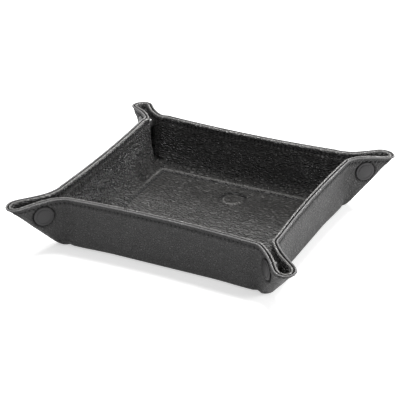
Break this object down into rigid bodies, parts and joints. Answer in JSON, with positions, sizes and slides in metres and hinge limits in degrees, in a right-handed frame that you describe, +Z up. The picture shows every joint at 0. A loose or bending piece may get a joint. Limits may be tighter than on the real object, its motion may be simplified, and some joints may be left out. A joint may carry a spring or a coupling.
{
  "type": "valet tray",
  "caption": "Black leather valet tray with a stiffened, stitched floor and soft walls, its corners pinched into rounded ears by snap fasteners.",
  "frame": {"origin": "on the table under the middle of the tray's floor", "axes": "+Z up; +X towards a short wall, along the tray's length; -Y towards the long front wall"},
  "size_m": [0.2232, 0.2072, 0.0413],
  "materials": {
    "outer_leather": "satin",
    "lining_leather": "satin",
    "board": "matte",
    "cap": "satin",
    "snap": "satin"
  },
  "bodies": {
    "base": {"base_board": "board", "base_lining": "lining_leather", "base_outer": "outer_leather", "bend_back_lining": "lining_leather", "bend_back_outer": "outer_leather", "bend_front_lining": "lining_leather", "bend_front_outer": "outer_leather", "bend_left_lining": "lining_leather", "bend_left_outer": "outer_leather", "bend_right_lining": "lining_leather", "bend_right_outer": "outer_leather"},
    "wall_front": {"wall_front_board": "board", "wall_front_lining": "lining_leather", "wall_front_outer": "outer_leather"},
    "wall_right": {"wall_right_board": "board", "wall_right_lining": "lining_leather", "wall_right_outer": "outer_leather"},
    "wall_back": {"wall_back_board": "board", "wall_back_lining": "lining_leather", "wall_back_outer": "outer_leather"},
    "wall_left": {"wall_left_board": "board", "wall_left_lining": "lining_leather", "wall_left_outer": "outer_leather"},
    "flap_front_right_front": {"ear_front_right_front_outer": "outer_leather", "ear_front_right_front_lining": "lining_leather", "ear_front_right_fold": "outer_leather", "snap_front_right_socket_cap": "cap", "snap_front_right_socket": "snap"},
    "flap_front_right_right": {"ear_front_right_right_outer": "outer_leather", "ear_front_right_right_lining": "lining_leather", "snap_front_right_stud_cap": "cap", "snap_front_right_stud": "snap"},
    "flap_back_right_back": {"ear_back_right_back_outer": "outer_leather", "ear_back_right_back_lining": "lining_leather", "ear_back_right_fold": "outer_leather", "snap_back_right_socket_cap": "cap", "snap_back_right_socket": "snap"},
    "flap_back_right_right": {"ear_back_right_right_outer": "outer_leather", "ear_back_right_right_lining": "lining_leather", "snap_back_right_stud_cap": "cap", "snap_back_right_stud": "snap"},
    "flap_back_left_back": {"ear_back_left_back_outer": "outer_leather", "ear_back_left_back_lining": "lining_leather", "ear_back_left_fold": "outer_leather", "snap_back_left_socket_cap": "cap", "snap_back_left_socket": "snap"},
    "flap_back_left_left": {"ear_back_left_left_outer": "outer_leather", "ear_back_left_left_lining": "lining_leather", "snap_back_left_stud_cap": "cap", "snap_back_left_stud": "snap"},
    "flap_front_left_front": {"ear_front_left_front_outer": "outer_leather", "ear_front_left_front_lining": "lining_leather", "ear_front_left_fold": "outer_leather", "snap_front_left_socket_cap": "cap", "snap_front_left_socket": "snap"},
    "flap_front_left_left": {"ear_front_left_left_outer": "outer_leather", "ear_front_left_left_lining": "lining_leather", "snap_front_left_stud_cap": "cap", "snap_front_left_stud": "snap"}
  },
  "joints": [
    {"name": "wall_front_fold", "type": "hinge", "parent": "base", "child": "wall_front", "pos_m": [0, -0.07092, 0.00267], "axis": [1, 0, 0], "range_deg": [0, 82], "deforming": ["bend_front_outer", "bend_front_lining"]},
    {"name": "wall_right_fold", "type": "hinge", "parent": "base", "child": "wall_right", "pos_m": [0.07891, 0, 0.00267], "axis": [0, 1, 0], "range_deg": [0, 82], "deforming": ["bend_right_outer", "bend_right_lining"]},
    {"name": "wall_back_fold", "type": "hinge", "parent": "base", "child": "wall_back", "pos_m": [0, 0.07092, 0.00267], "axis": [-1, 0, 0], "range_deg": [0, 82], "deforming": ["bend_back_outer", "bend_back_lining"]},
    {"name": "wall_left_fold", "type": "hinge", "parent": "base", "child": "wall_left", "pos_m": [-0.07891, 0, 0.00267], "axis": [0, -1, 0], "range_deg": [0, 82], "deforming": ["bend_left_outer", "bend_left_lining"]},
    {"name": "flap_front_right_front_fold", "type": "hinge", "parent": "wall_front", "child": "flap_front_right_front", "pos_m": [0.07059, -0.07029, 0.0056], "axis": [0, -0.1392, 0.9903], "range_deg": [0, 39], "deforming": ["ear_front_right_fold"]},
    {"name": "flap_front_right_right_fold", "type": "hinge", "parent": "wall_right", "child": "flap_front_right_right", "pos_m": [0.07829, -0.06259, 0.0056], "axis": [-0.1392, 0, -0.9903], "range_deg": [0, 39]},
    {"name": "flap_back_right_back_fold", "type": "hinge", "parent": "wall_back", "child": "flap_back_right_back", "pos_m": [0.07059, 0.07029, 0.0056], "axis": [0, -0.1392, -0.9903], "range_deg": [0, 39], "deforming": ["ear_back_right_fold"]},
    {"name": "flap_back_right_right_fold", "type": "hinge", "parent": "wall_right", "child": "flap_back_right_right", "pos_m": [0.07829, 0.06259, 0.0056], "axis": [0.1392, 0, 0.9903], "range_deg": [0, 39]},
    {"name": "flap_back_left_back_fold", "type": "hinge", "parent": "wall_back", "child": "flap_back_left_back", "pos_m": [-0.07059, 0.07029, 0.0056], "axis": [0, 0.1392, 0.9903], "range_deg": [0, 39], "deforming": ["ear_back_left_fold"]},
    {"name": "flap_back_left_left_fold", "type": "hinge", "parent": "wall_left", "child": "flap_back_left_left", "pos_m": [-0.07829, 0.06259, 0.0056], "axis": [0.1392, 0, -0.9903], "range_deg": [0, 39]},
    {"name": "flap_front_left_front_fold", "type": "hinge", "parent": "wall_front", "child": "flap_front_left_front", "pos_m": [-0.07059, -0.07029, 0.0056], "axis": [0, 0.1392, -0.9903], "range_deg": [0, 39], "deforming": ["ear_front_left_fold"]},
    {"name": "flap_front_left_left_fold", "type": "hinge", "parent": "wall_left", "child": "flap_front_left_left", "pos_m": [-0.07829, -0.06259, 0.0056], "axis": [-0.1392, 0, 0.9903], "range_deg": [0, 39]}
  ],
  "couplings": [
    {"joint": "wall_right_fold", "follows": "wall_front_fold", "ratio": 1},
    {"joint": "wall_back_fold", "follows": "wall_front_fold", "ratio": 1},
    {"joint": "wall_left_fold", "follows": "wall_front_fold", "ratio": 1},
    {"joint": "flap_front_right_front_fold", "follows": "wall_front_fold", "ratio": 0.47561},
    {"joint": "flap_front_right_right_fold", "follows": "wall_front_fold", "ratio": 0.47561},
    {"joint": "flap_back_right_back_fold", "follows": "wall_front_fold", "ratio": 0.47561},
    {"joint": "flap_back_right_right_fold", "follows": "wall_front_fold", "ratio": 0.47561},
    {"joint": "flap_back_left_back_fold", "follows": "wall_front_fold", "ratio": 0.47561},
    {"joint": "flap_back_left_left_fold", "follows": "wall_front_fold", "ratio": 0.47561},
    {"joint": "flap_front_left_front_fold", "follows": "wall_front_fold", "ratio": 0.47561},
    {"joint": "flap_front_left_left_fold", "follows": "wall_front_fold", "ratio": 0.47561}
  ]
}
